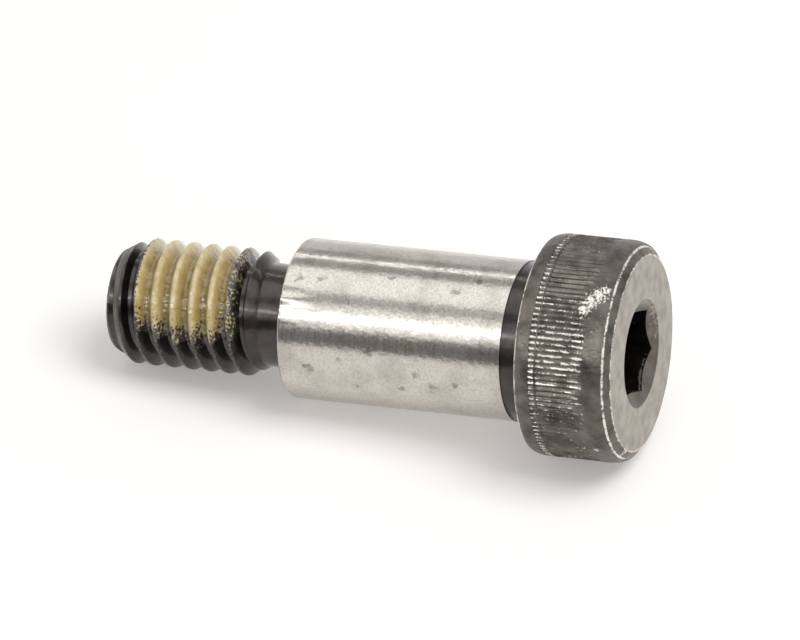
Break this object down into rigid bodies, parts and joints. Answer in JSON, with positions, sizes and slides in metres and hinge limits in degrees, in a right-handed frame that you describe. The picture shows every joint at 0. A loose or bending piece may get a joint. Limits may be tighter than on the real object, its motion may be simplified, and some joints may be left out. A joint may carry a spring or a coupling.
{
  "type": "shoulder bolt",
  "caption": "Shoulder bolt with a knurled round head, hexagon socket, ground shoulder, undercut necks and a shorter, thinner thread that carries a tan locking patch.",
  "frame": {"origin": "centre of the head's flat face, which is the bottom of the part as it stands on its head", "axes": "+Z along the bolt from the head to the thread's tip; the side with the lower edge of the locking patch faces -Y, and the patch reaches round to +X"},
  "size_m": [0.0218, 0.0216, 0.0538],
  "materials": {
    "steel": "ground bright on the shoulder, black oxide elsewhere",
    "patch": "tan nylon locking patch, slightly glossy"
  },
  "bodies": {
    "root": {"bolt": "steel", "locking_patch": "patch"}
  },
  "joints": []
}
